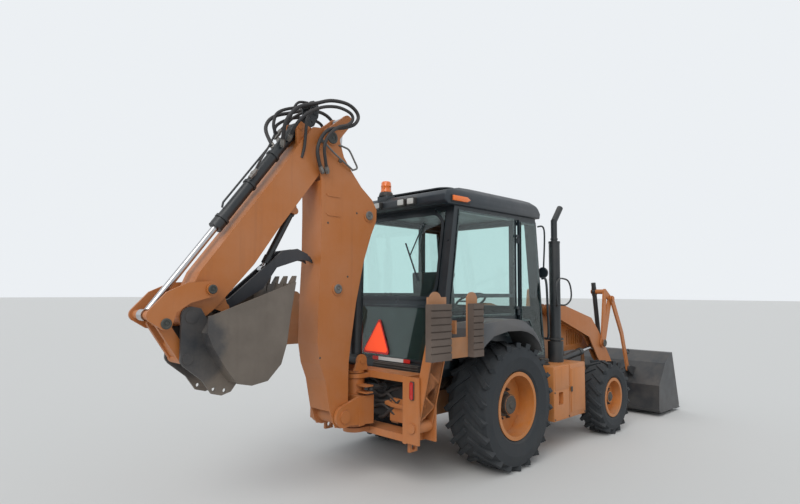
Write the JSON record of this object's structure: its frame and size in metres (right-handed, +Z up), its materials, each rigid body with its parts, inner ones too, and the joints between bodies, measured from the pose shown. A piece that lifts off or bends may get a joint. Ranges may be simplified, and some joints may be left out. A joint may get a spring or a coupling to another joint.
{
  "type": "backhoe loader",
  "caption": "Backhoe loader with a glazed cab, a front loader bucket on lift arms, and a rear boom, dipper, bucket and thumb carried on a swing tower between two stabilizers.",
  "frame": {"origin": "on the ground below the middle of the machine's length, on its centre plane", "axes": "+X forward, towards the loader bucket; +Y to the machine's left; +Z up"},
  "size_m": [7.7011, 2.246, 3.4842],
  "materials": {
    "orange_paint": "weathered gloss",
    "frame_paint": "weathered",
    "black_paint": "satin",
    "window_glass": "clear",
    "grey_plastic": "matte",
    "black_plastic": "matte",
    "cylinder_paint": "satin",
    "rod_chrome": "polished",
    "tyre_rubber": "worn",
    "bucket_steel": "worn",
    "dig_bucket_steel": "worn",
    "engine_iron": "rough",
    "seat_fabric": "woven",
    "lamp_plastic": "gloss",
    "pad_rubber": "dirty"
  },
  "bodies": {
    "chassis": {"main_frame": "frame_paint", "engine": "engine_iron", "axles": "frame_paint", "cab_frame": "black_paint", "cab_roof": "black_paint", "cab_glass": "window_glass", "controls": "black_plastic", "seat": "seat_fabric", "fenders": "grey_plastic", "side_tanks": "orange_paint", "exhaust": "cylinder_paint", "rear_frame": "orange_paint", "hydraulics": "cylinder_paint", "lamps": "lamp_plastic"},
    "hood": {"hood": "orange_paint", "grille": "black_plastic"},
    "door_left": {"door_left": "black_paint", "door_glass_left": "window_glass"},
    "door_right": {"door_right": "black_paint", "door_glass_right": "window_glass"},
    "knuckle_left": {"knuckle_left": "frame_paint"},
    "knuckle_right": {"knuckle_right": "frame_paint"},
    "wheel_rear_left": {"tyre_rear_left": "tyre_rubber", "rim_rear_left": "orange_paint"},
    "wheel_rear_right": {"tyre_rear_right": "tyre_rubber", "rim_rear_right": "orange_paint"},
    "wheel_front_left": {"tyre_front_left": "tyre_rubber", "rim_front_left": "orange_paint"},
    "wheel_front_right": {"tyre_front_right": "tyre_rubber", "rim_front_right": "orange_paint"},
    "loader_arms": {"loader_arms": "orange_paint"},
    "bell_cranks": {"bell_cranks": "orange_paint"},
    "tilt_links": {"tilt_links": "orange_paint"},
    "tilt_barrels": {"tilt_barrels": "cylinder_paint"},
    "tilt_rods": {"tilt_rods": "rod_chrome"},
    "lift_barrels": {"lift_barrels": "cylinder_paint"},
    "lift_rods": {"lift_rods": "rod_chrome"},
    "loader_bucket": {"loader_bucket": "bucket_steel"},
    "swing_tower": {"swing_tower": "orange_paint"},
    "boom": {"boom": "orange_paint"},
    "boom_barrel": {"boom_barrel": "cylinder_paint"},
    "boom_rod": {"boom_rod": "rod_chrome"},
    "dipper": {"dipper": "orange_paint"},
    "dipper_barrel": {"dipper_barrel": "cylinder_paint"},
    "dipper_rod": {"dipper_rod": "rod_chrome"},
    "tool_barrel": {"tool_barrel": "cylinder_paint"},
    "tool_rod": {"tool_rod": "rod_chrome"},
    "guide_links": {"guide_links": "orange_paint"},
    "tool_link": {"tool_link": "orange_paint"},
    "dig_bucket": {"dig_bucket": "dig_bucket_steel"},
    "thumb": {"thumb": "orange_paint"},
    "thumb_barrel": {"thumb_barrel": "cylinder_paint"},
    "thumb_rod": {"thumb_rod": "rod_chrome"},
    "leg_left": {"leg_left": "orange_paint"},
    "leg_right": {"leg_right": "orange_paint"},
    "foot_left": {"foot_left": "orange_paint", "pads_left": "pad_rubber"},
    "foot_right": {"foot_right": "orange_paint", "pads_right": "pad_rubber"}
  },
  "joints": [
    {"name": "hood_hinge", "type": "hinge", "parent": "chassis", "child": "hood", "pos_m": [2.32, 0, 1.25], "axis": [0, -1, 0], "range_deg": [-45, 0]},
    {"name": "door_left_hinge", "type": "hinge", "parent": "chassis", "child": "door_left", "pos_m": [-0.024, 0.74, 1.8], "axis": [0, 0, 1], "range_deg": [0, 72]},
    {"name": "door_right_hinge", "type": "hinge", "parent": "chassis", "child": "door_right", "pos_m": [-0.024, -0.74, 1.8], "axis": [0, 0, -1], "range_deg": [0, 72]},
    {"name": "steer_left", "type": "hinge", "parent": "chassis", "child": "knuckle_left", "pos_m": [1.695, 0.61, 0.455], "axis": [0, 0, 1], "range_deg": [-35, 35]},
    {"name": "steer_right", "type": "hinge", "parent": "chassis", "child": "knuckle_right", "pos_m": [1.695, -0.61, 0.455], "axis": [0, 0, 1], "range_deg": [-35, 35]},
    {"name": "wheel_rear_left_spin", "type": "hinge", "parent": "chassis", "child": "wheel_rear_left", "pos_m": [-0.47, 0.812, 0.64], "axis": [0, 1, 0], "continuous": true},
    {"name": "wheel_rear_right_spin", "type": "hinge", "parent": "chassis", "child": "wheel_rear_right", "pos_m": [-0.47, -0.812, 0.64], "axis": [0, 1, 0], "continuous": true},
    {"name": "wheel_front_left_spin", "type": "hinge", "parent": "knuckle_left", "child": "wheel_front_left", "pos_m": [1.695, 0.905, 0.455], "axis": [0, 1, 0], "continuous": true},
    {"name": "wheel_front_right_spin", "type": "hinge", "parent": "knuckle_right", "child": "wheel_front_right", "pos_m": [1.695, -0.905, 0.455], "axis": [0, 1, 0], "continuous": true},
    {"name": "loader_lift", "type": "hinge", "parent": "chassis", "child": "loader_arms", "pos_m": [0.95, 0, 1.56], "axis": [0, -1, 0], "range_deg": [-2, 84]},
    {"name": "lift_barrel_turn", "type": "hinge", "parent": "chassis", "child": "lift_barrels", "pos_m": [0.86, 0, 0.88], "axis": [0, -1, 0], "range_deg": [-1.6, 61.4]},
    {"name": "lift_rod_slide", "type": "slide", "parent": "lift_barrels", "child": "lift_rods", "axis": [0.9916, 0, 0.129], "range_m": [-0.018, 0.728]},
    {"name": "bucket_tilt", "type": "hinge", "parent": "loader_arms", "child": "loader_bucket", "pos_m": [2.93, 0, 0.26], "axis": [0, 1, 0], "range_deg": [-35, 75]},
    {"name": "crank_turn", "type": "hinge", "parent": "loader_arms", "child": "bell_cranks", "pos_m": [2.29, 0, 1.08], "axis": [0, 1, 0], "range_deg": [-21.8, 46.6]},
    {"name": "tilt_link_turn", "type": "hinge", "parent": "bell_cranks", "child": "tilt_links", "pos_m": [2.54, 0, 1.7], "axis": [0, 1, 0], "range_deg": [-46.1, 21.6]},
    {"name": "tilt_barrel_turn", "type": "hinge", "parent": "bell_cranks", "child": "tilt_barrels", "pos_m": [2.38, 0, 1.8], "axis": [0, 1, 0], "range_deg": [-20.7, 9.7]},
    {"name": "tilt_rod_slide", "type": "slide", "parent": "tilt_barrels", "child": "tilt_rods", "axis": [0.1747, 0, -0.9846], "range_m": [-0.232, 0.109]},
    {"name": "arm_swing", "type": "hinge", "parent": "chassis", "child": "swing_tower", "pos_m": [-1.77, 0, 0.72], "axis": [0, 0, 1], "range_deg": [-65, 65]},
    {"name": "boom_lift", "type": "hinge", "parent": "swing_tower", "child": "boom", "pos_m": [-2.05, 0, 0.64], "axis": [0, -1, 0], "range_deg": [-3, 100]},
    {"name": "boom_barrel_turn", "type": "hinge", "parent": "swing_tower", "child": "boom_barrel", "pos_m": [-1.76, 0, 1.12], "axis": [0, -1, 0], "range_deg": [-3.3, 107.7]},
    {"name": "boom_rod_slide", "type": "slide", "parent": "boom_barrel", "child": "boom_rod", "axis": [0.0142, 0, 0.9999], "range_m": [-0.026, 0.822]},
    {"name": "dipper_swing", "type": "hinge", "parent": "boom", "child": "dipper", "pos_m": [-2.21, 0, 3.215], "axis": [0, 1, 0], "range_deg": [0, 100]},
    {"name": "dipper_barrel_turn", "type": "hinge", "parent": "boom", "child": "dipper_barrel", "pos_m": [-2.12, 0, 1.81], "axis": [0, 1, 0], "range_deg": [-0.1, 3.2]},
    {"name": "dipper_rod_slide", "type": "slide", "parent": "dipper_barrel", "child": "dipper_rod", "axis": [0.08, 0, 0.9968], "range_m": [-0.471, 0.001]},
    {"name": "dig_bucket_curl", "type": "hinge", "parent": "dipper", "child": "dig_bucket", "pos_m": [-3.51051, 0, 1.5917], "axis": [0, 1, 0], "range_deg": [0, 150]},
    {"name": "guide_turn", "type": "hinge", "parent": "dipper", "child": "guide_links", "pos_m": [-3.3698, 0, 1.79932], "axis": [0, 1, 0], "range_deg": [-0.1, 97.8]},
    {"name": "tool_link_turn", "type": "hinge", "parent": "guide_links", "child": "tool_link", "pos_m": [-3.70919, 0, 1.54843], "axis": [0, 1, 0], "range_deg": [-36.8, 0.1]},
    {"name": "tool_barrel_turn", "type": "hinge", "parent": "dipper", "child": "tool_barrel", "pos_m": [-2.51606, 0, 3.268], "axis": [0, 1, 0], "range_deg": [-0.1, 9.9]},
    {"name": "tool_rod_slide", "type": "slide", "parent": "tool_barrel", "child": "tool_rod", "axis": [-0.6118, 0, -0.791], "range_m": [-0.654, 0.001]},
    {"name": "thumb_turn", "type": "hinge", "parent": "dipper", "child": "thumb", "pos_m": [-3.21686, 0, 1.65116], "axis": [0, -1, 0], "range_deg": [0, 10]},
    {"name": "thumb_barrel_turn", "type": "hinge", "parent": "dipper", "child": "thumb_barrel", "pos_m": [-2.5369, 0, 2.50308], "axis": [0, 1, 0], "range_deg": [-0.1, 8.3]},
    {"name": "thumb_rod_slide", "type": "slide", "parent": "thumb_barrel", "child": "thumb_rod", "axis": [-0.4817, 0, -0.8763], "range_m": [-0.018, 0.001]},
    {"name": "leg_left_lower", "type": "hinge", "parent": "chassis", "child": "leg_left", "pos_m": [-1.59, 0.72, 0.57], "axis": [-1, 0, 0], "range_deg": [0, 106]},
    {"name": "foot_left_turn", "type": "hinge", "parent": "leg_left", "child": "foot_left", "pos_m": [-1.59, 0.94499, 1.47237], "axis": [-1, 0, 0], "range_deg": [-16.1, 0.1]},
    {"name": "leg_right_lower", "type": "hinge", "parent": "chassis", "child": "leg_right", "pos_m": [-1.59, -0.72, 0.57], "axis": [1, 0, 0], "range_deg": [0, 106]},
    {"name": "foot_right_turn", "type": "hinge", "parent": "leg_right", "child": "foot_right", "pos_m": [-1.59, -0.94499, 1.47237], "axis": [1, 0, 0], "range_deg": [-16.1, 0.1]}
  ],
  "couplings": [
    {"joint": "steer_right", "follows": "steer_left", "ratio": 1},
    {"joint": "lift_barrel_turn", "follows": "loader_lift", "ratio": 0.7292},
    {"joint": "lift_rod_slide", "follows": "loader_lift", "m_per_rad": 0.49594},
    {"joint": "crank_turn", "follows": "bucket_tilt", "ratio": 0.6202},
    {"joint": "tilt_link_turn", "follows": "bucket_tilt", "ratio": -0.6138},
    {"joint": "tilt_barrel_turn", "follows": "bucket_tilt", "ratio": -0.275},
    {"joint": "tilt_rod_slide", "follows": "bucket_tilt", "m_per_rad": -0.17648},
    {"joint": "boom_barrel_turn", "follows": "boom_lift", "ratio": 1.0757},
    {"joint": "boom_rod_slide", "follows": "boom_lift", "m_per_rad": 0.47012},
    {"joint": "dipper_barrel_turn", "follows": "dipper_swing", "ratio": 0.0309},
    {"joint": "dipper_rod_slide", "follows": "dipper_swing", "m_per_rad": -0.26914},
    {"joint": "guide_turn", "follows": "dig_bucket_curl", "ratio": 0.6513},
    {"joint": "tool_link_turn", "follows": "dig_bucket_curl", "ratio": -0.2447},
    {"joint": "tool_barrel_turn", "follows": "dig_bucket_curl", "ratio": 0.0654},
    {"joint": "tool_rod_slide", "follows": "dig_bucket_curl", "m_per_rad": -0.24951},
    {"joint": "thumb_barrel_turn", "follows": "thumb_turn", "ratio": 0.8184},
    {"joint": "thumb_rod_slide", "follows": "thumb_turn", "m_per_rad": -0.09676},
    {"joint": "foot_left_turn", "follows": "leg_left_lower", "ratio": -0.15094},
    {"joint": "foot_right_turn", "follows": "leg_right_lower", "ratio": -0.15094}
  ]
}
